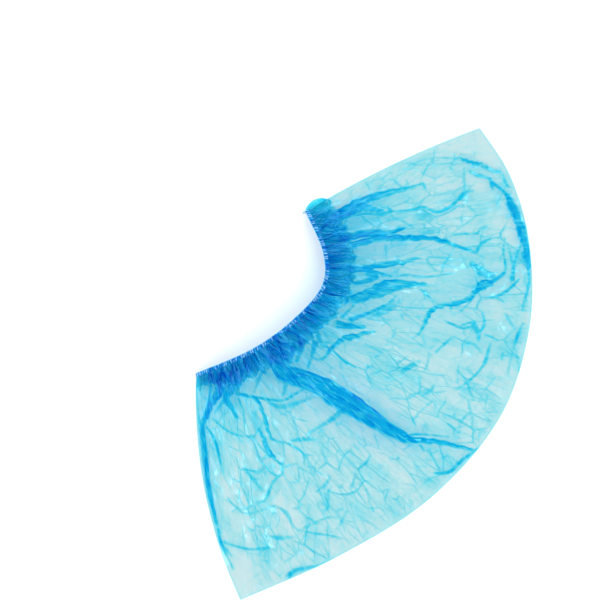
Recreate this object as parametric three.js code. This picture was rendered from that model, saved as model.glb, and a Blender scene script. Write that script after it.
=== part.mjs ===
// A disposable shoe cover of thin blue polyethylene film, lying flat on its side as it comes out of
// the packet. A rectangle of film is folded in half along the sole and welded at the heel and at the
// toe. The open edge is turned back into a hem and drawn up on an elastic, which pulls the rectangle
// into a fan. Lengths are in millimetres: +X runs from heel to toe, +Y from the sole to the mouth and
// +Z up from the table. The film is drawn as a wall thick enough to be handled as a solid, and its two
// sides as sheets that lie on each other, with a small gap, along the welds and the sole fold.
import * as THREE from "three";

// The fan, measured along straight lines on the table
const SPREAD = 336; // from the heel corner to the toe corner
const SOLE_BOW = 94.5; // from that line out to the furthest point of the sole fold
const MOUTH_RISE = 90; // from that line up to the heel end of the mouth
const HEEL_BOW = 9; // how far the heel weld curves outwards
const TOE_BOW = 3; // the same at the toe weld

// The film, its hem and its welds
const WALL = 1.05; // film
const CLEARANCE = 0.3; // between two pieces that lie on each other
const WELD_WIDTH = 3; // welded strip along the heel and the toe
const FOLD_EDGE = 1.5; // from the sole fold in to the hollow
const HEM_DEPTH = 18; // how far the film is turned back at the mouth
const HEM_DEPTH_AT_HEEL = 10; // the same where the hem runs into the heel weld
const HEM_HEEL_STRETCH = 0.16; // share of the mouth over which the depth changes
const HEM_STEP = 9; // stretch over which the film comes down from the hem to the table

// The hollow that takes the shoe
const HOLLOW_HEIGHT = 10.5; // at its highest, behind the mouth
const MOUTH_OPENING = 9.5; // between the two sides of the hem
const HOLLOW_SWELL = 0.25; // share of the way to the sole over which the hollow reaches its height
const HOLLOW_END_POWER = 1.7; // how bluntly the hollow ends at the welds
const HOLLOW_SOLE_POWER = 3.5; // how bluntly it ends at the sole fold

// The gathers that the elastic makes along the mouth
const GATHERS = 14;
const GATHER_HEIGHT_UPPER = 2.8;
const GATHER_HEIGHT_LOWER = 1.4;
const GATHER_REACH = 42; // from the mouth to where the last of them dies out
const FLAT_END = 0.07; // share of the mouth at each end that stays flat

// The elastic and its clearances
const ELASTIC_DIAMETER = 1.9;
const ELASTIC_SIDES = 8;
const ELASTIC_COLUMNS = 2; // columns of the film from one ring of the elastic to the next
const TURN_STEPS = 6; // steps round each end of the elastic loop

// How finely the surfaces are divided
const COLUMNS = GATHERS * 6;
const HEM_ROWS = 2;
const BODY_ROWS = [0.05, 0.12, 0.2, 0.31, 0.44, 0.58, 0.73, 0.88, 1]; // shares from the hem to the sole
const SLOPE_STEP = 0.004; // share of the film over which its slope is measured

// The sole fold from heel corner to toe corner: along in half spreads, out in sole bows
const SOLE_POINTS = [
  { along: -1, out: 0 },
  { along: -0.68, out: 0.46 },
  { along: -0.33, out: 0.83 },
  { along: 0.06, out: 1 },
  { along: 0.42, out: 0.9 },
  { along: 0.7, out: 0.64 },
  { along: 0.89, out: 0.33 },
  { along: 1, out: 0 },
];

// The mouth from its heel end to its toe end: along in half spreads, up in mouth rises
const MOUTH_POINTS = [
  { along: -0.31, up: 1 },
  { along: -0.14, up: 0.735 },
  { along: 0.02, up: 0.575 },
  { along: 0.19, up: 0.49 },
  { along: 0.31, up: 0.585 },
  { along: 0.42, up: 0.83 },
];

// The main fold, the largest of those on the upper side
const FOLD_HEIGHT = 4.5;
const FOLD_HALF_WIDTH = 7;

// The folds of the upper side. Each runs through three places: along is their share of the way from
// heel to toe, down from mouth to sole. high and half are shares of the main fold's height and half width.
const FOLDS = [
  { name: "main fold", along: [0.312, 0.368, 0.44], down: [0.1, 0.44, 0.97], high: 1, half: 1 },
  { name: "heel edge", along: [0.035, 0.045, 0.035], down: [0.06, 0.4, 0.85], high: 0.5, half: 0.6 },
  { name: "heel fold", along: [0.15, 0.2, 0.175], down: [0.14, 0.3, 0.56], high: 0.55, half: 0.65 },
  { name: "sole tuck", along: [0.6, 0.66, 0.73], down: [0.48, 0.62, 0.78], high: 0.6, half: 0.65 },
  { name: "toe fold 1", along: [0.665, 0.7, 0.735], down: [0.15, 0.36, 0.62], high: 0.65, half: 0.7 },
  { name: "toe fold 2", along: [0.75, 0.765, 0.775], down: [0.14, 0.37, 0.6], high: 0.55, half: 0.65 },
  { name: "toe fold 3", along: [0.86, 0.83, 0.775], down: [0.14, 0.4, 0.78], high: 0.65, half: 0.7 },
  { name: "toe fold 4", along: [0.945, 0.945, 0.93], down: [0.15, 0.4, 0.66], high: 0.6, half: 0.65 },
  { name: "toe corner", along: [0.985, 0.93, 0.82], down: [0.66, 0.86, 0.965], high: 0.35, half: 0.55 },
];
const FOLD_STEPS = 16; // straight pieces in which a fold's line is followed
const FOLD_TAPER = 0.3; // share of its length over which a fold dies out at each end

const FILM = { color: 0x58c4e8, roughness: 0.22, metalness: 0 };
const HEM = { color: 0x1f9fdc, roughness: 0.3, metalness: 0 };
const ELASTIC = { color: 0x1276c2, roughness: 0.6, metalness: 0 };

const { smoothstep, lerp, clamp } = THREE.MathUtils;
const halfSpread = SPREAD / 2;

const soleCurve = new THREE.SplineCurve(
  SOLE_POINTS.map((p) => new THREE.Vector2(p.along * halfSpread, -p.out * SOLE_BOW)),
);
const mouthCurve = new THREE.SplineCurve(
  MOUTH_POINTS.map((p) => new THREE.Vector2(p.along * halfSpread, p.up * MOUTH_RISE)),
);
const mouthLength = mouthCurve.getLength();
const soleLength = soleCurve.getLength();

// The direction in which a weld curves outwards, square to the line between its ends
function weldOutward(share) {
  const side = soleCurve.getPointAt(share).sub(mouthCurve.getPointAt(share));
  const outward = new THREE.Vector2(side.y, -side.x).normalize();
  return outward.y > 0 ? outward : outward.negate();
}
const heelOutward = weldOutward(0);
const toeOutward = weldOutward(1);

// Where a point of the film lies on the table, from its share of the way from heel to toe and from
// mouth to sole. reach is its distance from the mouth and depth that of the whole side there.
function spot(heelToe, mouthSole) {
  const along = clamp(heelToe, 0, 1);
  const mouth = mouthCurve.getPointAt(along);
  const sole = soleCurve.getPointAt(along);
  const depth = mouth.distanceTo(sole);
  const belly = 4 * mouthSole * (1 - mouthSole);
  const place = mouth.lerp(sole, mouthSole);
  place.addScaledVector(heelOutward, HEEL_BOW * belly * (1 - along) ** 3);
  place.addScaledVector(toeOutward, TOE_BOW * belly * along ** 3);
  return { x: place.x, y: place.y, along, down: mouthSole, reach: mouthSole * depth, depth };
}

function hemDepth(along) {
  return lerp(HEM_DEPTH_AT_HEEL, HEM_DEPTH, smoothstep(along, 0, HEM_HEEL_STRETCH));
}

// Width of the film from heel to toe as it lies, at a share of the way from mouth to sole
function rowLength(mouthSole) {
  return lerp(mouthLength, soleLength, mouthSole);
}

// 0 in the valleys and at the flat ends of the mouth, 1 on the crests of the gathers beside it
function gather(p) {
  const wave = (1 - Math.cos(2 * Math.PI * GATHERS * p.along)) / 2;
  const ends = smoothstep(p.along, 0, FLAT_END) * smoothstep(1 - p.along, 0, FLAT_END);
  const fade = 1 - smoothstep(p.reach, HEM_DEPTH / 2, GATHER_REACH);
  return wave * ends * fade;
}

// 1 in the middle of the hollow, 0 at its edges
function hollowShare(p) {
  const inset = WELD_WIDTH / rowLength(p.down);
  const across = clamp((p.along - inset) / (1 - 2 * inset), 0, 1);
  const soleShare = clamp(p.reach / (p.depth - FOLD_EDGE), 0, 1);
  const betweenWelds = 1 - (1 - Math.sin(Math.PI * across)) ** HOLLOW_END_POWER;
  return betweenWelds * (1 - soleShare ** HOLLOW_SOLE_POWER);
}

const foldLines = FOLDS.map((fold) => {
  const line = new THREE.QuadraticBezierCurve(
    ...fold.along.map((share, k) => new THREE.Vector2(share, fold.down[k])),
  );
  const points = line.getPoints(FOLD_STEPS).map((share) => {
    const { x, y } = spot(share.x, share.y);
    return new THREE.Vector3(x, y, 0);
  });
  const pieces = points.slice(1).map((point, k) => new THREE.Line3(points[k], point));
  return { ...fold, pieces };
});

// Height that the large folds add, each one a ridge that dies out towards both ends
function foldHeight(p) {
  const here = new THREE.Vector3(p.x, p.y, 0);
  const nearest = new THREE.Vector3();
  let height = 0;
  for (const fold of foldLines) {
    fold.pieces.forEach((piece, k) => {
      const part = piece.closestPointToPointParameter(here, true);
      const share = (k + part) / FOLD_STEPS;
      const taper = smoothstep(share, 0, FOLD_TAPER) * smoothstep(1 - share, 0, FOLD_TAPER);
      const distance = piece.at(part, nearest).distanceTo(here) / (fold.half * FOLD_HALF_WIDTH);
      height = Math.max(height, fold.high * FOLD_HEIGHT * taper * Math.exp(-(distance ** 2)));
    });
  }
  return height;
}

// Underside of all the film at a point: on the table, apart from the gathers
function tableSide(p) {
  return GATHER_HEIGHT_LOWER * gather(p);
}

// How far the cover's own film is held off by the hem that lies outside it
function hemStep(p) {
  const end = hemDepth(p.along);
  return (WALL + CLEARANCE) * (1 - smoothstep(p.reach, end, end + HEM_STEP));
}

// Where the upper film rests on the lower one, as it does all along the welds and the sole fold
function seat(p) {
  return hemStep(p) + WALL + CLEARANCE;
}

// Underside of the upper film, which is the ceiling of the hollow
function ceiling(p) {
  const height = lerp(MOUTH_OPENING, HOLLOW_HEIGHT, smoothstep(p.down, 0, HOLLOW_SWELL));
  const raised = GATHER_HEIGHT_UPPER * gather(p) + foldHeight(p) * Math.min(1, 2 * hollowShare(p));
  return seat(p) + height * hollowShare(p) + raised;
}

// How much taller than its thickness a wall stands where the surface given by height slopes
function steepness(height, p) {
  const corner = (a, d) => {
    const q = spot(a, d);
    return new THREE.Vector3(q.x, q.y, height(q));
  };
  const a0 = Math.max(p.along - SLOPE_STEP, 0);
  const a1 = Math.min(p.along + SLOPE_STEP, 1);
  const d0 = Math.max(p.down - SLOPE_STEP, 0);
  const d1 = Math.min(p.down + SLOPE_STEP, 1);
  const across = corner(a1, p.down).sub(corner(a0, p.down));
  const along = corner(p.along, d1).sub(corner(p.along, d0));
  return 1 / Math.abs(across.cross(along).normalize().z);
}

// Collects vertices and the faces between rows of them
class Skin {
  constructor() {
    this.positions = [];
    this.faces = [];
  }

  vertex(x, y, z) {
    this.positions.push(x, y, z);
    return this.positions.length / 3 - 1;
  }

  quad(a, b, c, d) {
    this.faces.push(a, b, c, a, c, d);
  }

  // Faces between neighbouring rows. facing is 1 or -1 and turns them over.
  rows(list, facing) {
    for (let j = 0; j + 1 < list.length; j++) {
      for (let i = 0; i + 1 < list[j].length; i++) {
        const [a, b] = [list[j][i], list[j][i + 1]];
        const [c, d] = [list[j + 1][i + 1], list[j + 1][i]];
        if (facing > 0) this.quad(a, d, c, b);
        else this.quad(a, b, c, d);
      }
    }
  }

  mesh(name, finish) {
    const geometry = new THREE.BufferGeometry();
    geometry.setAttribute("position", new THREE.Float32BufferAttribute(this.positions, 3));
    geometry.setIndex(this.faces);
    geometry.computeVertexNormals();
    const mesh = new THREE.Mesh(geometry, new THREE.MeshStandardMaterial(finish));
    mesh.name = name;
    return mesh;
  }
}

// The grid of spots that the film is drawn over: rows from heel to toe, with the hem's rows first
const columns = Array.from({ length: COLUMNS + 1 }, (_, i) => i / COLUMNS);
const hemRows = Array.from({ length: HEM_ROWS + 1 }, (_, j) => j / HEM_ROWS);
const hemShare = (along) => hemDepth(along) / spot(along, 0).depth;
const hemSpots = hemRows.map((share) => columns.map((along) => spot(along, share * hemShare(along))));
const bodySpots = BODY_ROWS.map((share) => columns.map((along) => spot(along, lerp(hemShare(along), 1, share))));
const filmSpots = [...hemSpots, ...bodySpots];

// The heights of the four faces of the film at a spot
const underside = (p) => tableSide(p) + hemStep(p) * steepness(tableSide, p);
const floor = (p) => tableSide(p) + (hemStep(p) + WALL) * steepness(tableSide, p);
const topside = (p) => ceiling(p) + WALL * steepness(ceiling, p);

// One side of the film, a sheet between a lower and an upper face
function filmSide(name, lowerFace, upperFace) {
  const skin = new Skin();
  const face = (height) => filmSpots.map((row) => row.map((p) => skin.vertex(p.x, p.y, height(p))));
  const bottom = face(lowerFace);
  const top = face(upperFace);
  skin.rows(top, 1);
  skin.rows(bottom, -1);
  skin.rows([top.map((row) => row[0]), bottom.map((row) => row[0])], 1);
  skin.rows([top.map((row) => row.at(-1)), bottom.map((row) => row.at(-1))], -1);
  skin.rows([top[0], bottom[0]], -1);
  skin.rows([top.at(-1), bottom.at(-1)], 1);
  return skin.mesh(name, FILM);
}

// A row of spots with one more at each end, off millimetres beyond the film's edge. The added spots
// keep the shares of their neighbours, so that they lie at the same height.
function widened(row, off) {
  const beyond = (last, before) => {
    const length = Math.hypot(last.x - before.x, last.y - before.y);
    const x = last.x + ((last.x - before.x) / length) * off;
    const y = last.y + ((last.y - before.y) / length) * off;
    return { ...last, x, y };
  };
  return [beyond(row[0], row[1]), ...row, beyond(row.at(-1), row.at(-2))];
}

// The hem: the turned-back film, a sleeve open at both edges that lies round the mouth of the pouch
function hemBand() {
  const skin = new Skin();
  const sheet = (off, height) =>
    hemSpots.map((row) => widened(row, off).map((p) => skin.vertex(p.x, p.y, height(p))));
  const top = sheet(CLEARANCE + WALL, (p) => ceiling(p) + (2 * WALL + CLEARANCE) * steepness(ceiling, p));
  const bottom = sheet(CLEARANCE + WALL, tableSide);
  const inCeiling = sheet(CLEARANCE, (p) => ceiling(p) + (WALL + CLEARANCE) * steepness(ceiling, p));
  const inFloor = sheet(CLEARANCE, (p) => tableSide(p) + WALL * steepness(tableSide, p));
  skin.rows(top, 1);
  skin.rows(bottom, -1);
  skin.rows(inFloor, 1);
  skin.rows(inCeiling, -1);
  skin.rows([top.map((row) => row[0]), bottom.map((row) => row[0])], 1);
  skin.rows([top.map((row) => row.at(-1)), bottom.map((row) => row.at(-1))], -1);
  skin.rows([top[0], inCeiling[0]], -1);
  skin.rows([inFloor[0], bottom[0]], -1);
  skin.rows([inCeiling.map((row) => row[0]), inFloor.map((row) => row[0])], -1);
  skin.rows([inCeiling.map((row) => row.at(-1)), inFloor.map((row) => row.at(-1))], 1);
  skin.rows([top[HEM_ROWS], inCeiling[HEM_ROWS]], 1);
  skin.rows([inFloor[HEM_ROWS], bottom[HEM_ROWS]], 1);
  const corner = (j, i) => [top[j].at(i), inCeiling[j].at(i), inFloor[j].at(i), bottom[j].at(i)];
  skin.quad(...corner(0, 0));
  skin.quad(...corner(0, -1).reverse());
  skin.quad(...corner(HEM_ROWS, 0).reverse());
  skin.quad(...corner(HEM_ROWS, -1));
  return skin.mesh("hem_band", HEM);
}

// The elastic: one loop that follows the mouth along the upper side and back along the lower side,
// level with the middle of the film and hem that it gathers
function elasticLoop() {
  const skin = new Skin();
  const radius = ELASTIC_DIAMETER / 2;
  const middle = (2 * WALL + CLEARANCE) / 2;
  const stations = hemSpots[0]
    .filter((p, i) => i % ELASTIC_COLUMNS === 0)
    .map((p) => {
      const tangent = mouthCurve.getTangentAt(p.along);
      const outward = new THREE.Vector3(-tangent.y, tangent.x, 0);
      const place = new THREE.Vector3(p.x, p.y, 0).addScaledVector(outward, CLEARANCE + radius);
      const lower = Math.max(middle, radius);
      const upper = seat(p) + MOUTH_OPENING * hollowShare(p) + middle;
      return { place, outward, lower, upper: Math.max(upper, lower + ELASTIC_DIAMETER + CLEARANCE) };
    });
  const strand = (list, level) =>
    list.map((s) => ({ at: s.place.clone().setZ(s[level]), outward: s.outward }));
  const turn = (s, way) => {
    const half = (s.upper - s.lower) / 2;
    const along = new THREE.Vector3(s.outward.y, -s.outward.x, 0);
    return Array.from({ length: TURN_STEPS - 1 }, (_, k) => {
      const angle = (Math.PI * (k + 1)) / TURN_STEPS;
      const at = s.place.clone().setZ(s.lower + half + way * half * Math.cos(angle));
      return { at: at.addScaledVector(along, way * half * Math.sin(angle)), outward: s.outward };
    });
  };
  const path = [
    ...strand(stations, "upper"),
    ...turn(stations.at(-1), 1),
    ...strand([...stations].reverse(), "lower"),
    ...turn(stations[0], -1),
  ];
  const rings = path.map(({ at, outward }, k) => {
    const next = path[(k + 1) % path.length].at;
    const tangent = next.clone().sub(path.at(k - 1).at).normalize();
    const side = new THREE.Vector3().crossVectors(tangent, outward).normalize();
    const ring = Array.from({ length: ELASTIC_SIDES }, (_, n) => {
      const angle = (2 * Math.PI * n) / ELASTIC_SIDES;
      const rim = at.clone().addScaledVector(outward, radius * Math.cos(angle));
      rim.addScaledVector(side, radius * Math.sin(angle));
      return skin.vertex(rim.x, rim.y, rim.z);
    });
    return [...ring, ring[0]];
  });
  skin.rows([...rings, rings[0]], -1);
  return skin.mesh("elastic_loop", ELASTIC);
}

const cover = new THREE.Group();
cover.add(filmSide("lower_side", underside, floor), filmSide("upper_side", ceiling, topside));
cover.add(hemBand(), elasticLoop());
const box = new THREE.Box3().setFromObject(cover);
const middle = box.getCenter(new THREE.Vector3());
cover.position.set(-middle.x, -middle.y, -box.min.z);

export default cover;
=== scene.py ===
"""A disposable shoe cover of sheer blue film, lying flat on its side on a white table."""

import math
from collections import namedtuple

import bpy
import numpy as np
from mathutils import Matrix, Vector
from mathutils.geometry import delaunay_2d_cdt


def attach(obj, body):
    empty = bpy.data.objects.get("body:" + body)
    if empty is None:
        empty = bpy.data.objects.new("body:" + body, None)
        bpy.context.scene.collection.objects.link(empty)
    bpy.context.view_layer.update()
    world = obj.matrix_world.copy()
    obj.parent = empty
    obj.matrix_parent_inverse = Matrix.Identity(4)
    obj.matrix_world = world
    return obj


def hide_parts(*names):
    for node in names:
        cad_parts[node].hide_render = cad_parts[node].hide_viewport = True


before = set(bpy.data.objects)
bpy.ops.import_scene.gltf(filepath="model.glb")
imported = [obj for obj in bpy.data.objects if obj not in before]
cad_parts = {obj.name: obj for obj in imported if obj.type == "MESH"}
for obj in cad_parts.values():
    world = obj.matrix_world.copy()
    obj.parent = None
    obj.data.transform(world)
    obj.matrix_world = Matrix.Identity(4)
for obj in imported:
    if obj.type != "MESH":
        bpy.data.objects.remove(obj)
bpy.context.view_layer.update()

# Film pouch
# The cover is one rectangle of blown polyethylene film, 0.025 mm thick, folded in half along the sole
# and welded at the heel and the toe. The elastic draws its open edge together, so the film lies as a
# fan. u is the share of the way from heel to toe, v from mouth to sole, and lengths are in millimetres.
MM = 0.001
FLAT_LENGTH = 400
FLAT_DEPTH = 148
# As it lies, the sole's ends are SPREAD apart, the sole bows out by SOLE_BOW and the mouth's heel end
# stands MOUTH_RISE the other way. The shares of those sizes give points along the sole and the mouth,
# and the two welds bow out by HEEL_BOW and TOE_BOW.
SPREAD = 336
SOLE_BOW = 94.5
MOUTH_RISE = 90
HEEL_BOW = 9
TOE_BOW = 3
SOLE_SHARES = (
    (-1, 0), (-0.68, -0.46), (-0.33, -0.83), (0.06, -1), (0.42, -0.9), (0.7, -0.64), (0.89, -0.33), (1, 0),
)
MOUTH_SHARES = ((-0.31, 1), (-0.14, 0.735), (0.02, 0.575), (0.19, 0.49), (0.31, 0.585), (0.42, 0.83))
# The middle of the cover's box is the origin. BOX_TRIM was found by measuring the box
BOX_TRIM = 1.3
CENTRE_Y = (MOUTH_RISE - SOLE_BOW) / 2 + BOX_TRIM
POUCH_HEIGHT = 8.0
FILM_GAP = 0.35


def smooth_curve(points, steps=600):
    """Points along a smooth curve through the given ones, and each one's share of its length."""
    points = np.array(points, float)
    last = len(points) - 1
    place = np.linspace(0, last, steps)
    start = np.minimum(place.astype(int), last - 1)
    part = (place - start)[:, None]
    before, after = np.maximum(start - 1, 0), np.minimum(start + 2, last)
    p, q = points[start], points[start + 1]
    leave, arrive = (q - points[before]) / 2, (points[after] - p) / 2
    curve = (2 * p - 2 * q + leave + arrive) * part**3
    curve += (3 * q - 3 * p - 2 * leave - arrive) * part**2 + leave * part + p
    run = np.append(0, np.cumsum(np.hypot(*np.diff(curve, axis=0).T)))
    return curve, run / run[-1]


sole_curve, sole_share = smooth_curve([(a * SPREAD / 2, o * SOLE_BOW) for a, o in SOLE_SHARES])
mouth_curve, mouth_share = smooth_curve([(a * SPREAD / 2, o * MOUTH_RISE) for a, o in MOUTH_SHARES])
MOUTH_LENGTH = np.hypot(*np.diff(mouth_curve, axis=0).T).sum()


def outward(end):
    """The direction in which the weld at that end of the film curves outwards."""
    side = sole_curve[end] - mouth_curve[end]
    square = np.array((side[1], -side[0])) / np.hypot(*side)
    return square if square[1] > 0 else -square


def smooth_step(value):
    """A smooth rise from 0 to 1, as value rises from 0 to 1."""
    value = np.clip(value, 0, 1)
    return value * value * (3 - 2 * value)


def plan(u, v):
    """Where the film lies on the table, seen from above."""
    u = np.clip(u, 0, 1)
    belly = 4 * v * (1 - v)
    heel, toe = HEEL_BOW * belly * (1 - u) ** 3, TOE_BOW * belly * u**3
    spot = []
    for k in (0, 1):
        mouth = np.interp(u, mouth_share, mouth_curve[:, k])
        sole = np.interp(u, sole_share, sole_curve[:, k])
        spot.append(mouth + (sole - mouth) * v + heel * outward(0)[k] + toe * outward(-1)[k])
    return spot[0], spot[1] - CENTRE_Y


def film_depth(u):
    """Distance from mouth to sole along the film as it lies."""
    (x0, y0), (x1, y1) = plan(u, 0 * u), plan(u, 0 * u + 1)
    return np.hypot(x1 - x0, y1 - y0)


def wander(u, v, seed, fineness):
    """A smooth irregular value between about -1 and 1, a sum of waves mixed by seed."""
    value = 0
    # Each seed mixes the waves its own way, and other numbers would do as well
    for k in range(4):
        a, b, c = (math.sin(seed * 12.9 + k * 78.2 + j * 37.7) for j in range(3))
        value = value + np.sin(2 * np.pi * fineness * (1 + 0.7 * a) * u + 5 * b * v + 9 * c + k) / 3
    return value


# Gathers at the mouth: the film is drawn up in pleats that stand and lean over each other. waves
# counts the pleats, high and lean are their height and sideways lean, reach is where they end and
# layers how many more layers of film lie in them. The pleats wander by PLEAT_DRIFT turns in groups of
# DRIFT_PLEATS, along DRIFT_MM of their length. Their size differs from PLEAT_SIZE by PLEAT_UNEVEN in
# groups of UNEVEN_PLEATS, along UNEVEN_MM, and stays between LEAST_PLEAT and LARGEST_PLEAT.
GATHERS = (
    {"waves": 54, "high": 2.3, "lean": 0.42, "reach": 26, "layers": 4},
    {"waves": 23, "high": 1.6, "lean": 0.95, "reach": 34, "layers": 3.6},
    {"waves": 11, "high": 1.5, "lean": 1.5, "reach": 46, "layers": 2.4},
)
PLEAT_DRIFT = 0.45
PLEAT_SIZE = 0.75
PLEAT_UNEVEN = 0.45
DRIFT_PLEATS, DRIFT_MM = 6, 40
UNEVEN_PLEATS, UNEVEN_MM = 4, 50
LEAST_PLEAT, LARGEST_PLEAT = 0.1, 1.4
PLEAT_TAPER = 1.3
FLAT_END = 0.055
# The hem's depth in mm along the mouth. Its edge is ragged by HEM_WAVER slowly and HEM_RAGGED quickly
HEM_WAVER = 1.2
HEM_RAGGED = 2.6
HEM_DEPTHS = {"u": (0, 0.04, 0.09, 0.16, 0.5, 0.8, 0.95, 1), "mm": (9, 9, 12, 16, 18, 19, 18, 16)}


def hem_depth(u, side):
    """Distance in mm from the mouth to the hem's inner edge."""
    even = np.interp(u, HEM_DEPTHS["u"], HEM_DEPTHS["mm"])
    return even + HEM_WAVER * wander(u, 0, 4, 9) + HEM_RAGGED * wander(u, 0, 8 + side, 26)


# Film drawn together evenly, in layers: at the welds, and how many more away from them. The hem's
# edge ends it within HEM_EDGE_MM, and past it PAST_HEM of the pleats' layers stay.
WELD_LEVEL = 0.5
DRAWN_LEVEL = 0.8
DRAWN_UNEVEN = 0.5
HEM_EDGE_MM = 1.2
PAST_HEM = 0.04


def gather(u, reach, side):
    """Height of the pleats, how far the film moves along the mouth in them and its added layers."""
    height, along, layers = 0, 0, 0
    ends = smooth_step(u / FLAT_END) * smooth_step((1 - u) / FLAT_END)
    for row, wave in enumerate(GATHERS):
        seed = row + 3.1 + 5 * side
        drift = PLEAT_DRIFT * wander(u, reach / DRIFT_MM, seed, wave["waves"] / DRIFT_PLEATS)
        turn = 2 * np.pi * (wave["waves"] * u + drift)
        uneven = PLEAT_UNEVEN * wander(u, reach / UNEVEN_MM, seed + 20, wave["waves"] / UNEVEN_PLEATS)
        size = np.clip(PLEAT_SIZE + uneven, LEAST_PLEAT, LARGEST_PLEAT) * ends
        size = size * (1 - smooth_step(reach / wave["reach"])) ** PLEAT_TAPER
        height = height + wave["high"] * size * (1 + np.cos(turn))
        along = along + wave["lean"] * size * np.sin(2 * turn)
        layers = layers + wave["layers"] * size * (0.5 + 0.5 * np.cos(turn + 1)) ** 2
    # Inside the hem the film is drawn together evenly as well, and the hem's edge ends that sharply
    inside = 1 - smooth_step((reach - hem_depth(u, side)) / HEM_EDGE_MM + 0.5)
    level = (WELD_LEVEL + DRAWN_LEVEL * ends) * (1 + DRAWN_UNEVEN * wander(u, reach / 15, 33, 12))
    return height, along, layers * (PAST_HEM + (1 - PAST_HEM) * inside) + level * inside


# The photo is taken from straight above. Its 600 pixels span 381 mm of the table.
PHOTO_PIXELS = 600
PHOTO_SPAN = 381
PHOTO_CENTRE = (19.0, 52.4 - CENTRE_Y)
PHOTO_UP = (0.8918, 0.4524)


def from_photo(pixels):
    """Spots on the table, in mm, that the photo shows at pixels counted from its top left corner."""
    across, down = (np.array(pixels, float).T - PHOTO_PIXELS / 2) * PHOTO_SPAN / PHOTO_PIXELS
    x = PHOTO_CENTRE[0] + across * PHOTO_UP[1] - down * PHOTO_UP[0]
    y = PHOTO_CENTRE[1] - across * PHOTO_UP[0] - down * PHOTO_UP[1]
    return np.stack((x, y), -1)


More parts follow.
